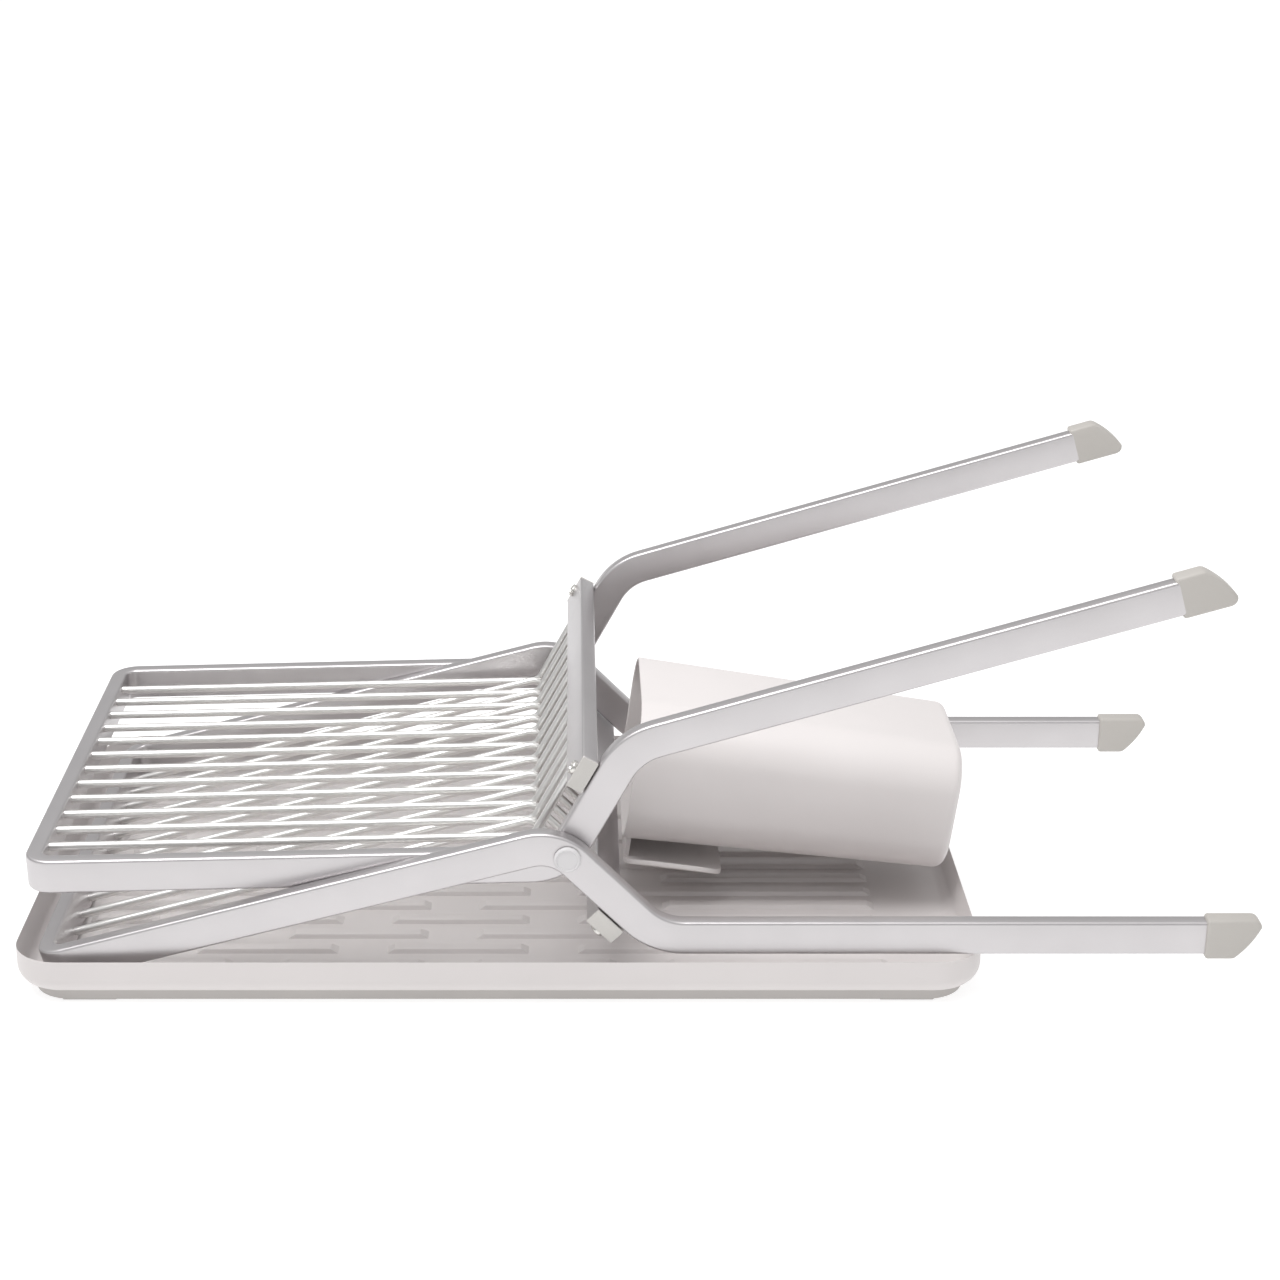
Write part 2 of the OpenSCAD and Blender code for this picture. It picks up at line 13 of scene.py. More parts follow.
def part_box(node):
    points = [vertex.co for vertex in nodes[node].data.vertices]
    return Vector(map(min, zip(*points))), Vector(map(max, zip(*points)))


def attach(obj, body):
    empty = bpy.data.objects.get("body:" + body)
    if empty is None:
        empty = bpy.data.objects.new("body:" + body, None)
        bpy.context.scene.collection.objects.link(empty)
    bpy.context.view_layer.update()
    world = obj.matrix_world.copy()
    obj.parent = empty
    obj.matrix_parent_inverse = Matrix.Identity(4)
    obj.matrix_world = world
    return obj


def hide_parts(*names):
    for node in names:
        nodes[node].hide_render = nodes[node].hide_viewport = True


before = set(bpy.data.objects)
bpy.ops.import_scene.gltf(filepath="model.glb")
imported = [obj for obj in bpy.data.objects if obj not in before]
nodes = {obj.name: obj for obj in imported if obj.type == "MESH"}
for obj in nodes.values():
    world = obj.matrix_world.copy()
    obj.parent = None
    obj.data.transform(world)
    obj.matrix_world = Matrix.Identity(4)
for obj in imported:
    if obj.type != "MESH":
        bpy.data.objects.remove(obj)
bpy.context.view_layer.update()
MM = 0.001

# %% [markdown]
# ## The makers' sizes
# A part is easiest to follow in the units that its maker used, so each mesh is made
# in millimetres and is scaled to metres once, when it is finished. Directions in a
# frame's side view are angles above +X, as on a drawing.
# %% Sizes in millimetres, and the frames' side view
BAR_H, BAR_T = 17, 8.5
FRAME_W, ARM, THIGH, SHIN = 268.5, 259, 69.5, 264
ARM_DIR, THIGH_DIR, KNEE = 15, -45, 45
PIVOT_BEND_R, KNEE_BEND_R, LOOP_R = 23, 32, 14
HIDDEN = 1.4                                   # how far a bar goes into its foot cap
SPREAD, RACK_W = 16.4, 277.7
PIVOT_AT, PIVOT_OFF = 9, 0.8                   # the pivot along the leg, and off its middle
WIRES, WIRE_D, WIRE_DROP, WIRE_BEND_R = 12, 4.2, 4, 7
BAR_AT, BAR_GAP = 38.5, 0.6                    # the crossbar along the leg, and beside it


def along(a):
    return Vector((math.cos(radians(a)), 0, math.sin(radians(a))))


def left_of(a):
    return Vector((-math.sin(radians(a)), 0, math.cos(radians(a))))


bend_at = -PIVOT_AT * along(THIGH_DIR) + PIVOT_OFF * left_of(THIGH_DIR)
knee_at = bend_at + THIGH * along(THIGH_DIR)
bar_off = BAR_H / 2 + BAR_GAP + BAR_T / 2
pivot = Vector(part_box("pivot_pin_front")[0]).lerp(Vector(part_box("pivot_pin_front")[1]), 0.5) / MM
place = {
    "a": Matrix.Translation((pivot.x, -RACK_W / 2, pivot.z)),
    "b": Matrix.Translation((pivot.x, RACK_W / 2, pivot.z))
    @ Matrix.Rotation(radians(-SPREAD), 4, "Y") @ Matrix.Rotation(radians(180), 4, "X"),
}
body = {"a": "lower_frame", "b": "upper_frame"}
print("pivot at", [round(c, 2) for c in pivot])

# %% [markdown]
# ## Camera
# A product view from a little over a metre away, looking down by 20 degrees. The lens
# is long enough to keep the bars nearly parallel, and the small shift frames the rack
# without turning the camera, so upright edges stay upright.
# %% Camera
cam = bpy.data.objects.new("camera", bpy.data.cameras.new("camera"))
bpy.context.scene.collection.objects.link(cam)
cam.location = Vector((-30.2, -1218.5, 580.4)) * MM
cam.rotation_euler = (radians(70), 0, 0)
cam.data.sensor_width, cam.data.lens = 36, 70.2
cam.data.shift_x = 0.0538
cam.data.clip_start = 0.05
bpy.context.scene.camera = cam

# %% [markdown]
# ## Finishes
# Each finish starts from what the real surface is. One function turns a hex colour to
# the linear values that shaders use, and one adds a node with its settings and links.
# A pattern's scale is worked out from a real spacing in millimetres.
# %% Colour and node helpers


def linear(hex_colour):
    parts = [int(hex_colour[i:i + 2], 16) / 255 for i in (1, 3, 5)]
    return tuple(c / 12.92 if c <= 0.04045 else ((c + 0.055) / 1.055) ** 2.4 for c in parts) + (1,)


def add(tree, kind, links=(), **values):
    """Adds a node. A value names a setting or a socket, and links are (output, socket name)."""
    node = tree.nodes.new("ShaderNode" + kind)
    for name, value in values.items():
        if hasattr(node, name):
            setattr(node, name, value)
        else:
            node.inputs[name.replace("_", " ")].default_value = value
    for output, socket in links:
        tree.links.new(output, node.inputs[socket])
    return node


def per_mm(spacing):
    """The texture scale whose features are this many millimetres apart."""
    return 1 / (spacing * MM)


def new_material(name):
    mat = bpy.data.materials.new(name)
    mat.use_nodes = True
    tree = mat.node_tree
    tree.nodes.clear()
    return mat, tree, add(tree, "TexCoord").outputs["Object"]


def shader(tree, normal, **values):
    links = [(normal, "Normal")] if normal else []
    out = add(tree, "BsdfPrincipled", links, **values)
    add(tree, "OutputMaterial", [(out.outputs["BSDF"], "Surface")])
    return out


def speckle(tree, coords, spacing, detail=3.0, stretch=(1, 1, 1)):
    """Noise whose grains are spacing mm apart, drawn out along an axis where stretch is below 1."""
    turned = add(tree, "Mapping", [(coords, "Vector")], Scale=stretch)
    return add(tree, "TexNoise", [(turned.outputs["Vector"], "Vector")], Scale=per_mm(spacing), Detail=detail)


def bump(tree, height, depth, strength=1.0):
    return add(tree, "Bump", [(height, "Height")], Distance=depth * MM, Strength=strength).outputs["Normal"]


def blend(tree, factor, low, high, at=(0.3, 0.7)):
    """Two close colours, or two greys for roughness, mixed by a noise between its usual limits."""
    ramp = add(tree, "ValToRGB", [(factor, "Fac")])
    for stop, colour, place_at in zip(ramp.color_ramp.elements, (low, high), at):
        stop.color, stop.position = colour, place_at
    return ramp.outputs["Color"]


def grey(value):
    return (value, value, value, 1)


# %% [markdown]
# ### Moulded plastics
# The tray and cup are polypropylene from a fine-grained mould: a soft broad highlight,
# a faint leathery grain of about half a millimetre, and colour that drifts by a percent
# or so over a hand's width. The caps are the same plastic in grey, and the end plugs
# come from a rough spark-eroded mould. The grit is drawn coarser than the real 0.1 mm,
# because it wouldn't show otherwise.
# %% Moulded plastics


def moulded(name, colour, shade, roughness, grain, depth):
    mat, tree, coords = new_material(name)
    drift = speckle(tree, coords, 60, 2)
    grit = speckle(tree, coords, grain, 4)
    polish = speckle(tree, coords, 14, 3)
    out = shader(tree, bump(tree, grit.outputs["Fac"], depth), IOR=1.49)
    tree.links.new(blend(tree, drift.outputs["Fac"], linear(shade), linear(colour)), out.inputs["Base Color"])
    low, high = grey(roughness - 0.04), grey(roughness + 0.05)
    tree.links.new(blend(tree, polish.outputs["Fac"], low, high), out.inputs["Roughness"])
    return mat


finish = {
    "tray": moulded("polypropylene_tray_fine_grain", "#d5d0cf", "#d2cdcc", 0.4, 0.7, 0.01),
    "cup": moulded("polypropylene_cup_fine_grain", "#ded9d8", "#dbd6d5", 0.42, 0.7, 0.01),
    "band": moulded("thermoplastic_elastomer_band", "#bfbbb8", "#bab6b3", 0.6, 0.5, 0.02),
    "cap": moulded("polyamide_foot_cap_satin", "#bab6b1", "#b6b2ad", 0.5, 0.5, 0.015),
    "plug": moulded("polyamide_plug_spark_eroded", "#d5d2ce", "#bcb9b5", 0.62, 0.9, 0.16),
}
print("plastics", sorted(finish))

# %% [markdown]
# ### Metals
# The bars are aluminium, bead-blasted and then anodised clear, so they look like silver
# paper: metallic, but with a broad soft reflection and a grain far below a millimetre.
# The wires are drawn stainless steel, polished smooth, with only a slow change of gloss.
# %% Metals


def metal(name, colour, shade, roughness, spread, grain, depth, stretch=(1, 1, 1)):
    mat, tree, coords = new_material(name)
    tone = speckle(tree, coords, 30, 2)
    grit = speckle(tree, coords, grain, 3, stretch)
    out = shader(tree, bump(tree, grit.outputs["Fac"], depth), Metallic=1.0)
    tree.links.new(blend(tree, tone.outputs["Fac"], linear(shade), linear(colour)), out.inputs["Base Color"])
    low, high = grey(roughness), grey(roughness + spread)
    tree.links.new(blend(tree, grit.outputs["Fac"], low, high), out.inputs["Roughness"])
    return mat


finish["bar"] = metal("aluminium_bead_blasted_clear_anodised", "#cbc8c9", "#c7c4c5", 0.36, 0.06, 0.6, 0.006)
finish["wire"] = metal("stainless_wire_drawn_polished", "#ecebe9", "#e6e5e3", 0.34, 0.04, 12.0, 0.0)
finish["button"] = moulded("polyamide_pivot_cap_satin", "#d2d0d1", "#cfcdce", 0.45, 0.5, 0.01)
finish["screw"] = metal("steel_nickel_plated", "#dcdad6", "#c9c7c3", 0.2, 0.1, 0.4, 0.01)
finish["washer"] = moulded("acetal_washer", "#d9d6d2", "#d2cfcb", 0.45, 0.5, 0.01)

# %% [markdown]
# ## Helpers for making pieces
# A bent bar and a bent wire are both one outline carried along a path. The outline is a
# loop of edges. A straight length extrudes that loop and moves it, a bend spins it about
# the bend's centre, and the two ends are filled at the last.
# %% Piece helpers


def finish_piece(bm, name, rides, mat, stands_for=(), matrix=None, smooth=40):
    """Turns a bmesh in millimetres into a finished piece in metres, at the origin and unturned."""
    bmesh.ops.remove_doubles(bm, verts=bm.verts, dist=0.0005)
    bmesh.ops.recalc_face_normals(bm, faces=bm.faces)
    bmesh.ops.transform(bm, matrix=Matrix.Scale(MM, 4) @ (matrix or Matrix()), verts=bm.verts)
    mesh = bpy.data.meshes.new(name)
    bm.to_mesh(mesh)
    bm.free()
    mesh.shade_smooth()
    mesh.set_sharp_from_angle(angle=radians(smooth))
    mesh.materials.append(finish[mat])
    obj = bpy.data.objects.new(name, mesh)
    bpy.context.scene.collection.objects.link(obj)
    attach(obj, rides)
    if stands_for:
        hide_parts(*stands_for)
    return obj


def ends(geom):
    """The edges and vertices in what an operator returned, ready for the next one."""
    return [g for g in geom if isinstance(g, (bmesh.types.BMVert, bmesh.types.BMEdge))]


def push(bm, loop, by):
    out = bmesh.ops.extrude_edge_only(bm, edges=[g for g in loop if isinstance(g, bmesh.types.BMEdge)])
    loop = ends(out["geom"])
    bmesh.ops.translate(bm, vec=by, verts=[g for g in loop if isinstance(g, bmesh.types.BMVert)])
    return loop


def turn(bm, loop, centre, axis, angle, steps):
    out = bmesh.ops.spin(bm, geom=loop, cent=centre, axis=axis, angle=radians(angle), steps=steps,
                         use_merge=False, use_duplicate=False)
    return ends(out["geom_last"])


def close_ends(bm):
    bmesh.ops.holes_fill(bm, edges=[e for e in bm.edges if e.is_boundary], sides=0)


def rounded_block(bm, size, centre, radius, segments=3):
    """A cube of that size with all its edges rounded."""
    made = bmesh.ops.create_cube(bm, size=1)["verts"]
    bmesh.ops.scale(bm, vec=size, verts=made)
    bmesh.ops.translate(bm, vec=centre, verts=made)
    edges = list({e for v in made for e in v.link_edges})
    bmesh.ops.bevel(bm, geom=edges, offset=radius, segments=segments, profile=0.5,
                    affect="EDGES", material=-1, clamp_overlap=True)


def upright_edges(bm):
    return [e for e in bm.edges if abs(e.verts[0].co.z - e.verts[1].co.z) > 0.5 * e.calc_length()
            and (e.verts[0].co - e.verts[1].co).xy.length < 0.01]


def edges_at(bm, z, tol=0.01):
    return [e for e in bm.edges if all(abs(v.co.z - z) < tol for v in e.verts)]


# %% [markdown]
# ## Drip tray
# The tray is one moulding, so it is cut from one block as a modeller would: round the
# upright edges, round the bottom edge, inset the top by the rim's width, push the inner
# face down to the floor, and round the floor's edge and the rim. The drain ribs are
# short raised bars with sloping ends, in rows where every other row is shifted, and they share
# the tray's mesh.
# %% Drip tray
low, high = (Vector(c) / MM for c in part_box("tray_body"))
TRAY_R, RIM, EDGE_R, FLOOR_T = 24, 4, 9, 1.8
tray_mid = (low + high) / 2
tray_l, tray_w = high.x - low.x, high.y - low.y
floor_z = low.z + FLOOR_T

bm = bmesh.new()
made = bmesh.ops.create_cube(bm, size=1)["verts"]
bmesh.ops.scale(bm, vec=high - low, verts=made)
bmesh.ops.translate(bm, vec=tray_mid, verts=made)
bmesh.ops.bevel(bm, geom=upright_edges(bm), offset=TRAY_R, segments=14, profile=0.5, affect="EDGES", material=-1)
top = [f for f in bm.faces if f.normal.z > 0.9]
bmesh.ops.inset_region(bm, faces=top, thickness=RIM, use_even_offset=True)
bmesh.ops.translate(bm, vec=(0, 0, floor_z - high.z), verts=[v for f in top for v in f.verts])
bmesh.ops.bevel(bm, geom=edges_at(bm, low.z), offset=EDGE_R, segments=7, profile=0.5, affect="EDGES", material=-1)
bmesh.ops.bevel(bm, geom=edges_at(bm, floor_z), offset=5, segments=5, profile=0.5, affect="EDGES", material=-1)
bmesh.ops.bevel(bm, geom=edges_at(bm, high.z), offset=1.7, segments=4, profile=0.5, affect="EDGES", material=-1)

RIB_L, RIB_GAP, RIB_PITCH, RIB_W, RIB_H, RIB_FREE = 72, 23, 16.4, 8.5, 2.2, 39
RIB_START, RIB_SHIFT, RIB_LEFT = -57, 44, 24.9 # first rib, shift of every other row, left margin
right_end, left_end = tray_l / 2 - RIM - RIB_FREE, -tray_l / 2 + RIB_LEFT
rows = int((tray_w / 2 - RIM - 12) // RIB_PITCH)
ribs = 0
for row in range(-rows, rows + 1):
    for k in range(-5, 6):
        start = RIB_START + k * (RIB_L + RIB_GAP) + (0 if row % 2 == 0 else RIB_SHIFT)
        stop = right_end if start > right_end - 2.3 * RIB_L else start + RIB_L
        start_at = max(start, left_end)
        if start >= right_end - 1.05 * RIB_L or stop <= left_end + 3 * RIB_W:
            continue
        made = bmesh.ops.create_cube(bm, size=1)["verts"]
        bmesh.ops.scale(bm, vec=(stop - start_at, RIB_W, RIB_H + 0.4), verts=made)
        centre = Vector((tray_mid.x + (start_at + stop) / 2, row * RIB_PITCH, floor_z + RIB_H / 2 - 0.2))
        bmesh.ops.translate(bm, vec=centre, verts=made)
        crest = [v for v in made if v.co.z > centre.z]
        slope = Matrix.Diagonal((1 - 9 / (stop - start_at), 1 - 2.6 / RIB_W, 1, 1))
        bmesh.ops.transform(bm, matrix=slope, verts=crest, space=Matrix.Translation(-centre))
        edges = [e for e in bm.edges if all(v in crest for v in e.verts)]
        bmesh.ops.bevel(bm, geom=edges, offset=0.6, segments=2, profile=0.5, affect="EDGES", material=-1)
        ribs += 1
finish_piece(bm, "drip_tray", "tray", "tray", ["tray_body"], smooth=32)
print("tray with", ribs, "ribs")

# %% [markdown]
# ## Bent frames
# Each frame is a single bar of 17 by 8.5 mm: up one leg, round the knee and the pivot
# bend, along the arm, round the loop and back the same way. The bar's outline is a
# rectangle with its corners rounded, which is what gives the long thin highlights.
# %% Bent frames


def bar_outline(bm):
    made = bmesh.ops.create_grid(bm, x_segments=1, y_segments=1, size=0.5)["verts"]
    bmesh.ops.scale(bm, vec=(BAR_T, BAR_H, 1), verts=made)
    bmesh.ops.bevel(bm, geom=list(bm.verts), offset=1.5, segments=4, profile=0.5, affect="VERTICES", material=-1)
    bmesh.ops.delete(bm, geom=list(bm.faces), context="FACES_ONLY")
    return list(bm.verts) + list(bm.edges)


def bend_centre(corner, a, angle, radius):
    """Centre of a bend, and how much of each straight length it takes up."""
    cut = radius * math.tan(radians(abs(angle) / 2))
    side = 1 if angle > 0 else -1
    return corner - cut * along(a) + side * radius * left_of(a), cut


knee_centre, knee_cut = bend_centre(knee_at, THIGH_DIR, KNEE, KNEE_BEND_R)
pivot_centre, pivot_cut = bend_centre(bend_at, ARM_DIR, -60, PIVOT_BEND_R)
shin = SHIN + HIDDEN - knee_cut                # the end is hidden in the foot cap
thigh = THIGH - knee_cut - pivot_cut
arm = ARM - LOOP_R - pivot_cut
loop_x = bend_at - (ARM - LOOP_R) * along(ARM_DIR)
Y, UP = Vector((0, 1, 0)), left_of(ARM_DIR)

for f in "ab":
    bm = bmesh.new()
    loop = bar_outline(bm)
    stand = Matrix(((0, 0, 1, 0), (1, 0, 0, 0), (0, 1, 0, 0), (0, 0, 0, 1)))
    bmesh.ops.transform(bm, matrix=stand, verts=bm.verts)
    bmesh.ops.translate(bm, vec=knee_at + Vector((SHIN + HIDDEN, BAR_T / 2, 0)), verts=bm.verts)
    loop = push(bm, loop, (-shin, 0, 0))
    loop = turn(bm, loop, knee_centre, Y, 45, 12)
    loop = push(bm, loop, -thigh * along(THIGH_DIR))
    loop = turn(bm, loop, pivot_centre, Y, -60, 14)
    loop = push(bm, loop, -arm * along(ARM_DIR))
    loop = turn(bm, loop, loop_x + Vector((0, LOOP_R, 0)), UP, -90, 12)
    loop = push(bm, loop, (0, FRAME_W - 2 * LOOP_R, 0))
    loop = turn(bm, loop, loop_x + Vector((0, FRAME_W - LOOP_R, 0)), UP, -90, 12)
    loop = push(bm, loop, arm * along(ARM_DIR))
    loop = turn(bm, loop, pivot_centre, Y, 60, 14)
    loop = push(bm, loop, thigh * along(THIGH_DIR))
    loop = turn(bm, loop, knee_centre, Y, -45, 12)
    loop = push(bm, loop, (shin, 0, 0))
    close_ends(bm)
    name = "frame_%s_bar" % f
    finish_piece(bm, "bent_" + name, body[f], "bar", [name], place[f], smooth=50)
    print(name, "swept")

# %% [markdown]
# ## Wires
# A rack wire is a round bar with one bend. It is the same sweep with a circle for its
# outline, made once for each of the twelve places in a frame. The ends go 3 mm into the
# bars that hold them.
# %% Wires
corner_s = -(bar_off - WIRE_DROP * math.cos(radians(60))) / math.sin(radians(60))
wire_corner = bend_at + corner_s * along(ARM_DIR) - WIRE_DROP * left_of(ARM_DIR)
wire_centre, wire_cut = bend_centre(wire_corner, ARM_DIR, -60, WIRE_BEND_R)
wire_arm = ARM - BAR_T + 3 + corner_s
wire_leg = BAR_AT + 3 - (corner_s * math.cos(radians(60)) + WIRE_DROP * math.sin(radians(60)))
wire_step = (FRAME_W - 2 * BAR_T) / (WIRES + 1)

for f in "ab":
    for i in range(1, WIRES + 1):
        bm = bmesh.new()
        bmesh.ops.create_circle(bm, segments=20, radius=WIRE_D / 2)
        aim = along(ARM_DIR).to_track_quat("Z", "Y").to_matrix().to_4x4()
        start = wire_corner - wire_arm * along(ARM_DIR) + Vector((0, BAR_T + wire_step * i, 0))
        bmesh.ops.transform(bm, matrix=Matrix.Translation(start) @ aim, verts=bm.verts)
        loop = list(bm.verts) + list(bm.edges)
        loop = push(bm, loop, (wire_arm - wire_cut) * along(ARM_DIR))
        loop = turn(bm, loop, wire_centre, Y, 60, 10)
        loop = push(bm, loop, (wire_leg - wire_cut) * along(THIGH_DIR))
        close_ends(bm)
        name = "frame_%s_wire_%d" % (f, i)
        finish_piece(bm, "rod_" + name, body[f], "wire", [name], place[f], smooth=50)
print("wires", 2 * WIRES)

# %% [markdown]
# ## Crossbars, end plugs and screws
# The wires end in a crossbar of the same flat tube. A rough plastic plug closes each end,
# and a domed screw with a round socket goes through it into the leg. The socket is
# made by insetting the head's round underside and pushing it up into the head.
# %% Crossbars, end plugs and screws


def to_thigh(matrix):
    """From the leg's own axes, with x along it from the pivot bend, to the rack."""
    return matrix @ Matrix.Translation(bend_at) @ Matrix.Rotation(radians(KNEE), 4, "Y")


def screw(bm, x, y, z):
    """A domed head of 7 mm with its socket facing down."""
    made = bmesh.ops.create_cone(bm, cap_ends=True, segments=24, radius1=3.5, radius2=3.5, depth=2)["verts"]
    outer = [e for v in made for e in v.link_edges if all(w.co.z < -0.9 for w in e.verts)]
    bmesh.ops.bevel(bm, geom=list(set(outer)), offset=1.1, segments=4, profile=0.6,
                    affect="EDGES", material=-1)
    bm.faces.ensure_lookup_table()
    cap = min((g for g in bm.faces if g.normal.z < -0.9 and g.is_valid), key=lambda g: g.calc_center_median().z)
    bmesh.ops.inset_region(bm, faces=[cap], thickness=0.6)
    bmesh.ops.translate(bm, vec=(0, 0, 1.1), verts=cap.verts)
    bmesh.ops.translate(bm, vec=(x, y, z), verts=bm.verts)


plug_head = 1.5
centre_x = BAR_AT + BAR_H / 2
for f in "ab":
    bm = bmesh.new()
    rounded_block(bm, (BAR_H, FRAME_W - 2 * plug_head, BAR_T), (centre_x, FRAME_W / 2, -bar_off), 1.1)
    name = "frame_%s_crossbar" % f
    finish_piece(bm, "tube_" + name, body[f], "bar", [name], to_thigh(place[f]))
    for side, y in (("front", plug_head / 2), ("back", FRAME_W - plug_head / 2)):
        real = side if f == "a" else ("back" if side == "front" else "front")
        bm = bmesh.new()
        rounded_block(bm, (BAR_H, plug_head, BAR_T), (centre_x, y, -bar_off), 0.55, 2)
        name = "frame_%s_plug_%s" % (f, real)
        finish_piece(bm, "head_" + name, body[f], "plug", [name], to_thigh(place[f]))
    both = bmesh.new()
    for y in (BAR_T / 2, FRAME_W - BAR_T / 2):
        bm = bmesh.new()
        screw(bm, centre_x, y, -bar_off - BAR_T / 2 - 1)
        part = bpy.data.meshes.new("part")
        bm.to_mesh(part)
        both.from_mesh(part)
        bm.free()
        bpy.data.meshes.remove(part)
    name = "frame_%s_screws" % f
    finish_piece(both, "heads_" + name, body[f], "screw", [name], to_thigh(place[f]))
print("crossbars, plugs and screws")

# %% [markdown]
# ## Foot caps
# A foot cap is a moulded shoe over the bar's end. Its side outline is drawn with a few
# points: a square shoulder, and a face that slopes so that it stands level when the rack
# is open, bulging a little. The outline is extruded to the cap's width and all its
# edges are rounded generously, because hands and worktops meet them.
# %% Foot caps
WALL, CAP_LEN, CAP_TIP_R, BULGE = 1.75, 14, 4, 1.2
cap_h = BAR_H + 2 * WALL
foot_angle = (90 - SPREAD) / 2
cap_tip = CAP_LEN + (cap_h - CAP_TIP_R) * math.tan(radians(foot_angle))

for f in "ab":
    for back in (False, True):
        bm = bmesh.new()
        lower, upper = Vector((CAP_LEN, 0, -cap_h / 2)), Vector((cap_tip, 0, cap_h / 2 - CAP_TIP_R))
        out = Vector((upper.z - lower.z, 0, lower.x - upper.x)).normalized()
        outline = [Vector((0, 0, cap_h / 2)), Vector((0, 0, -cap_h / 2))]
        for i in range(9):
            t = i / 8
            outline.append(lower.lerp(upper, t) + 4 * BULGE * t * (1 - t) * out)
        for i in range(1, 7):
            a = radians(90 * i / 6)
            outline.append(upper + CAP_TIP_R * Vector((math.cos(a) - 1, 0, math.sin(a))))
        verts = [bm.verts.new(p) for p in outline]
        made = bmesh.ops.contextual_create(bm, geom=verts)["faces"]
        out = bmesh.ops.extrude_face_region(bm, geom=made)["geom"]
        moved = [g for g in out if isinstance(g, bmesh.types.BMVert)]
        bmesh.ops.translate(bm, vec=(0, BAR_T + WALL, 0), verts=moved)
        rims = [e for e in bm.edges if abs(e.verts[0].co.y - e.verts[1].co.y) < 0.01]
        shoulder = [e for e in bm.edges if all(v.co.x < 0.01 for v in e.verts)]
        low_edge = [e for e in bm.edges if all((v.co - lower).xz.length < 0.01 for v in e.verts)]
        bmesh.ops.recalc_face_normals(bm, faces=bm.faces)
        bmesh.ops.bevel(bm, geom=list(set(rims + shoulder + low_edge)), offset=1.5, segments=4, profile=0.5,
                        affect="EDGES", material=-1, clamp_overlap=True)
        y = (FRAME_W - BAR_T if back else 0) - WALL
        bmesh.ops.translate(bm, vec=knee_at + Vector((SHIN, y, 0)), verts=bm.verts)
        side = "back" if back == (f == "a") else "front"
        name = "frame_%s_foot_%s" % (f, side)
        finish_piece(bm, "shoe_" + name, body[f], "cap", [name], place[f], smooth=45)
print("foot caps", 4)

# %% [markdown]
# ## Pivot caps
# A round cap snaps over each pivot pin. It is turned: half its section is drawn with a few
# points and spun round the pivot's axis. The fine raised rim catches the light.
# %% Pivot caps
CAP_R, CAP_H, CAP_FOOT = 6.5, 2.2, 0.4
half = [(0, CAP_H - 0.15), (4.9, CAP_H - 0.25), (5.15, CAP_H + 0.1), (5.6, CAP_H + 0.2),
        (6.1, CAP_H - 0.05), (CAP_R, CAP_H - 0.6), (CAP_R, CAP_FOOT), (0, CAP_FOOT)]
for side, name in ((-1, "pivot_cap_front"), (1, "pivot_cap_back")):
    bm = bmesh.new()
    verts = [bm.verts.new((r, side * (RACK_W / 2 + h), 0)) for r, h in half]
    edges = [bm.edges.new(pair) for pair in zip(verts, verts[1:])]
    bmesh.ops.spin(bm, geom=verts + edges, cent=(0, 0, 0), axis=Y, angle=radians(360), steps=48, use_merge=True)
    centred = Matrix.Translation((pivot.x, 0, pivot.z))
    finish_piece(bm, "button_" + name, "lower_frame", "button", [name], centred, smooth=35)
print("pivot caps", 2)

# %% [markdown]
# ## Utensil cup
# The cup is a thin tapered moulding with a rounded rectangular section. A block gets its
# four long edges rounded, its base is drawn in for the taper, the base's edge is rounded,
# the mouth is opened, and the skin is given its wall. The lip is then rounded.
# %% Utensil cup
CUP_L, MOUTH_W, MOUTH_H, BASE_W, BASE_H, CUP_R, CUP_WALL, CUP_TILT = 166, 104, 75.5, 98, 68, 24, 2, 7.5
cup_low, cup_high = (Vector(c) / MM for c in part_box("cup"))
# the mouth's lower corner is the box's leftmost point, and its upper corner the highest
tilt = radians(CUP_TILT)
top_z = cup_high.z - MOUTH_H * math.cos(tilt)
cup_at = Matrix.Translation((cup_low.x, (cup_low.y + cup_high.y) / 2, top_z)) \
    @ Matrix.Rotation(tilt, 4, "Y") @ Matrix.Translation((0, 0, MOUTH_H / 2))

bm = bmesh.new()
made = bmesh.ops.create_cube(bm, size=1)["verts"]
bmesh.ops.scale(bm, vec=(MOUTH_H, MOUTH_W, CUP_L), verts=made)
bmesh.ops.bevel(bm, geom=upright_edges(bm), offset=CUP_R, segments=14, profile=0.5, affect="EDGES", material=-1)
base = [v for v in bm.verts if v.co.z < 0]
bmesh.ops.scale(bm, vec=(BASE_H / MOUTH_H, BASE_W / MOUTH_W, 1), verts=base)
bmesh.ops.bevel(bm, geom=edges_at(bm, -CUP_L / 2), offset=5, segments=6, profile=0.5, affect="EDGES", material=-1)
bmesh.ops.delete(bm, geom=[f for f in bm.faces if f.normal.z > 0.9], context="FACES")
bmesh.ops.recalc_face_normals(bm, faces=bm.faces)
bmesh.ops.solidify(bm, geom=list(bm.faces), thickness=CUP_WALL)
lip_edges = [e for e in bm.edges if all(v.co.z > CUP_L / 2 - 0.05 for v in e.verts)
             and any(abs(g.normal.z) < 0.5 for g in e.link_faces)]
bmesh.ops.bevel(bm, geom=lip_edges, offset=0.7, segments=3, profile=0.5, affect="EDGES", material=-1)
lay = Matrix(((0, 0, -1, CUP_L / 2), (0, 1, 0, 0), (1, 0, 0, 0), (0, 0, 0, 1)))
finish_piece(bm, "utensil_cup_shell", "utensil_cup", "cup", ["cup"], cup_at @ lay, smooth=35)
print("cup placed at", [round(c, 1) for c in cup_at.translation])

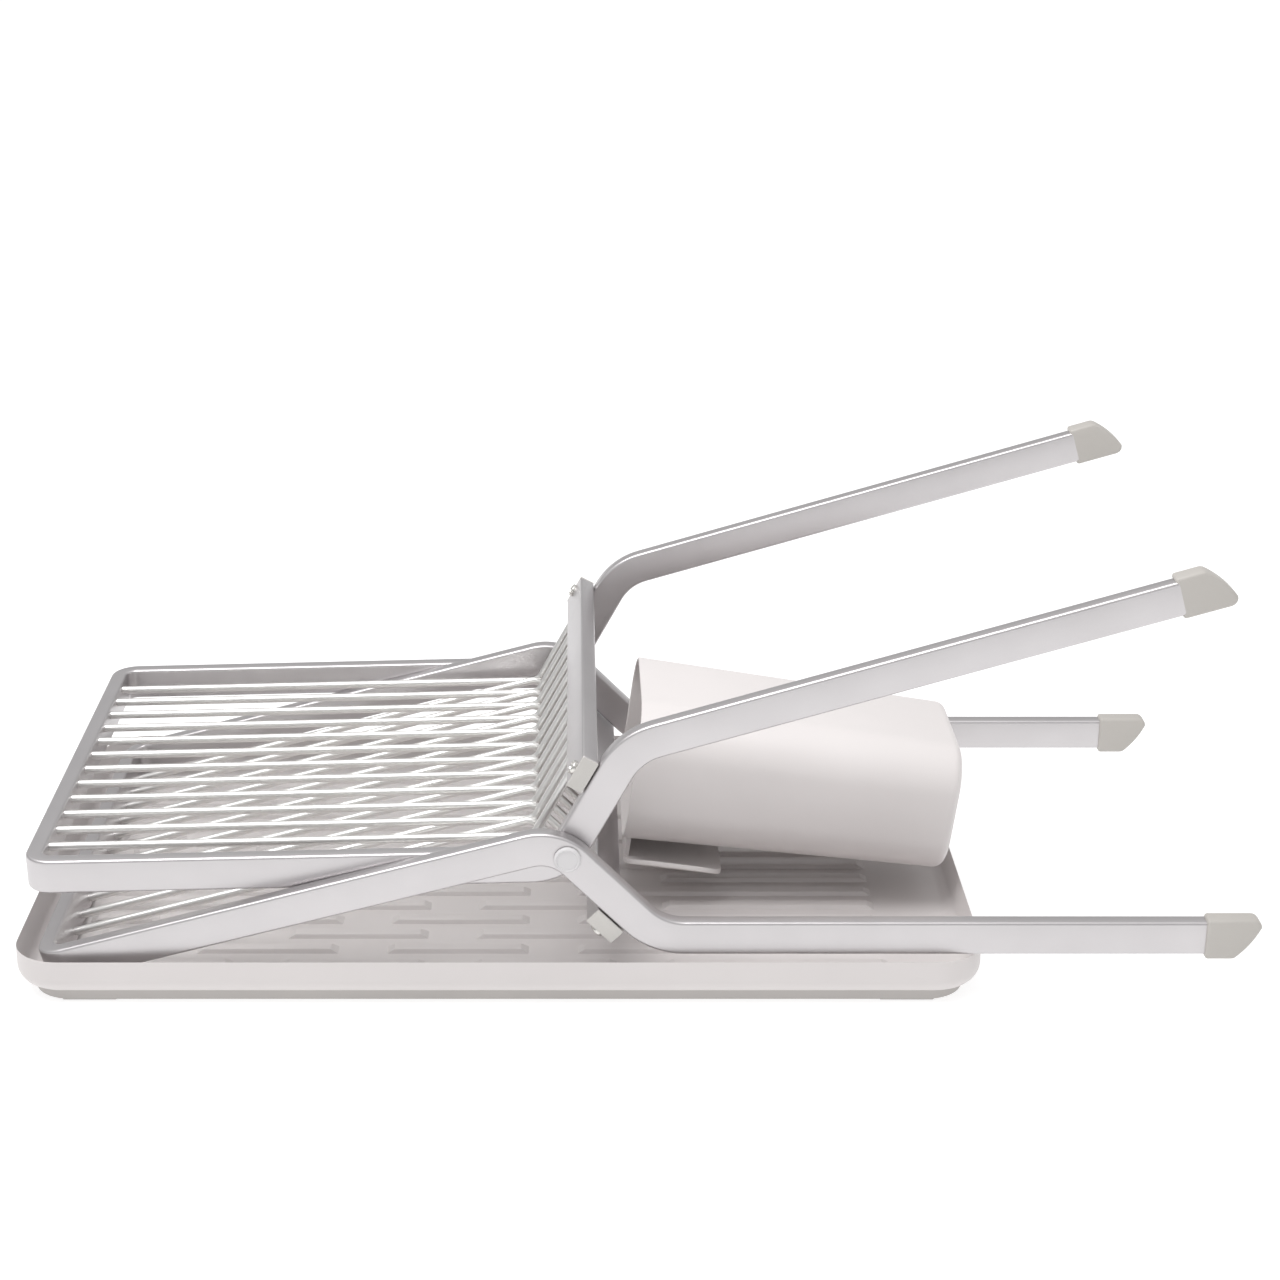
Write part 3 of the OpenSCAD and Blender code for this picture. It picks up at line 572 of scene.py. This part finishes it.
# %% [markdown]
# ## Hanging hook
# A plate under the cup's mouth hangs the cup on a rail. Its section follows the cup's
# rounded underside, so a flat sheet is first given its rounded corners, then cut across
# in narrow strips and laid round that curve. A short web at the mouth joins it to the cup.
# %% Hanging hook
HOOK_L, HOOK_W, HOOK_T, HOOK_GAP, HOOK_AT, HOOK_R = 51, 96, 2.5, 10.5, 2.5, 15
WEB_STEPS = 12                                 # points across the web that joins it to the cup


def under(y, gap):
    """Height of the curve that lies this far outside the cup's underside."""
    past = max(0, abs(y) - (MOUTH_W / 2 - CUP_R))
    r = CUP_R + gap
    return -MOUTH_H / 2 + CUP_R - math.sqrt(r * r - past * past)


def sheet(bm, x0, x1, corner, gap):
    """A rectangle in plan with rounded corners, cut across and laid round the cup."""
    made = bmesh.ops.create_grid(bm, x_segments=1, y_segments=1, size=0.5)["verts"]
    bmesh.ops.scale(bm, vec=(x1 - x0, HOOK_W, 1), verts=made)
    bmesh.ops.translate(bm, vec=((x0 + x1) / 2, 0, 0), verts=made)
    bmesh.ops.bevel(bm, geom=list(bm.verts), offset=corner, segments=10, profile=0.5,
                    affect="VERTICES", material=-1)
    strips = 48
    for i in range(1, strips):
        geom = list(bm.verts) + list(bm.edges) + list(bm.faces)
        y = -HOOK_W / 2 + HOOK_W * i / strips
        bmesh.ops.bisect_plane(bm, geom=geom, plane_co=(0, y, 0), plane_no=(0, 1, 0), dist=0.0001)
    for v in bm.verts:
        v.co.z = under(v.co.y, gap)


bm = bmesh.new()
sheet(bm, HOOK_AT, HOOK_AT + HOOK_L, HOOK_R, HOOK_GAP + HOOK_T)
bmesh.ops.recalc_face_normals(bm, faces=bm.faces)
if sum(f.normal.z for f in bm.faces) > 0:
    bmesh.ops.reverse_faces(bm, faces=bm.faces)
bmesh.ops.solidify(bm, geom=list(bm.faces), thickness=HOOK_T)
rim = [e for e in bm.edges if len(e.link_faces) == 2 and e.calc_face_angle(0) > 1.2]
bmesh.ops.bevel(bm, geom=rim, offset=0.5, segments=2, profile=0.5, affect="EDGES", material=-1, clamp_overlap=True)
half_web = HOOK_W / 2 - HOOK_R
ring = []
for step in range(WEB_STEPS + 1):
    y = -half_web + 2 * half_web * step / WEB_STEPS
    ring.append((y, under(y, 0.4)))
for step in range(WEB_STEPS + 1):
    y = half_web - 2 * half_web * step / WEB_STEPS
    ring.append((y, under(y, HOOK_GAP + HOOK_T / 2)))
verts = [bm.verts.new((HOOK_AT + 0.3, y, z)) for y, z in ring]
face = bmesh.ops.contextual_create(bm, geom=verts)["faces"]
out = bmesh.ops.extrude_face_region(bm, geom=face)["geom"]
bmesh.ops.translate(bm, vec=(HOOK_T - 0.3, 0, 0), verts=[g for g in out if isinstance(g, bmesh.types.BMVert)])
finish_piece(bm, "utensil_cup_hook", "utensil_cup", "cup", ["cup_hook"], cup_at, smooth=40)
print("hook")

# %% [markdown]
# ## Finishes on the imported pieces
# The tray's grey band, its feet, the pins and the washers already have their true shapes,
# so they keep their meshes and only take a finish.
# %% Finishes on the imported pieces
kept = {"tray_base_band": "band", "tray_feet": "band", "pivot_pin_front": "screw",
        "pivot_pin_back": "screw", "pivot_washers": "washer"}
for name, mat in kept.items():
    slots = nodes[name].data.materials
    slots.clear()
    slots.append(finish[mat])

# %% [markdown]
# ## Studio
# A white sweep with a low far edge, lit very softly as for a catalogue. The surround is brightest
# overhead and dimmer at eye level, so tops look white and the sides fall to a light
# grey. A broad box overhead lights the tray's floor and shows its ribs.
# %% Studio
bm = bmesh.new()
bmesh.ops.create_circle(bm, cap_ends=True, segments=64, radius=40)
rising = bmesh.ops.extrude_edge_only(bm, edges=[e for e in bm.edges if e.is_boundary])["geom"]
bmesh.ops.translate(bm, vec=(0, 0, 2.5), verts=[g for g in rising if isinstance(g, bmesh.types.BMVert)])
sweep_mesh = bpy.data.meshes.new("floor")
bm.to_mesh(sweep_mesh)
bm.free()
floor = bpy.data.objects.new("floor", sweep_mesh)
bpy.context.scene.collection.objects.link(floor)
paper, tree, coords = new_material("white_paper_sweep")
shader(tree, None, Base_Color=linear("#b3b3b3"), Roughness=0.9, Emission_Color=(1, 1, 1, 1), Emission_Strength=0.7)
sweep_mesh.materials.append(paper)


def softbox(name, at, aim, size, power):
    lamp = bpy.data.lights.new(name, "AREA")
    lamp.shape, lamp.size, lamp.size_y, lamp.energy = "RECTANGLE", *size, power
    obj = bpy.data.objects.new(name, lamp)
    bpy.context.scene.collection.objects.link(obj)
    obj.location = at
    obj.rotation_euler = (Vector(aim) - Vector(at)).to_track_quat("-Z", "Y").to_euler()


softbox("overhead", (-0.5, -0.35, 1.7), (0, 0, 0), (1.3, 1.0), 21)
world = bpy.data.worlds.new("surround")
world.use_nodes = True
sky = world.node_tree
up = add(sky, "SeparateXYZ", [(add(sky, "TexCoord").outputs["Generated"], "Vector")])
height = add(sky, "MapRange", [(up.outputs["Z"], "Value")], From_Min=0.0, From_Max=1.0, To_Min=0.34, To_Max=0.95)
sky.links.new(height.outputs["Result"], sky.nodes["Background"].inputs["Strength"])
sky.nodes["Background"].inputs["Color"].default_value = (1, 1, 1, 1)
bpy.context.scene.world = world
bpy.context.scene.view_settings.view_transform = "Standard"
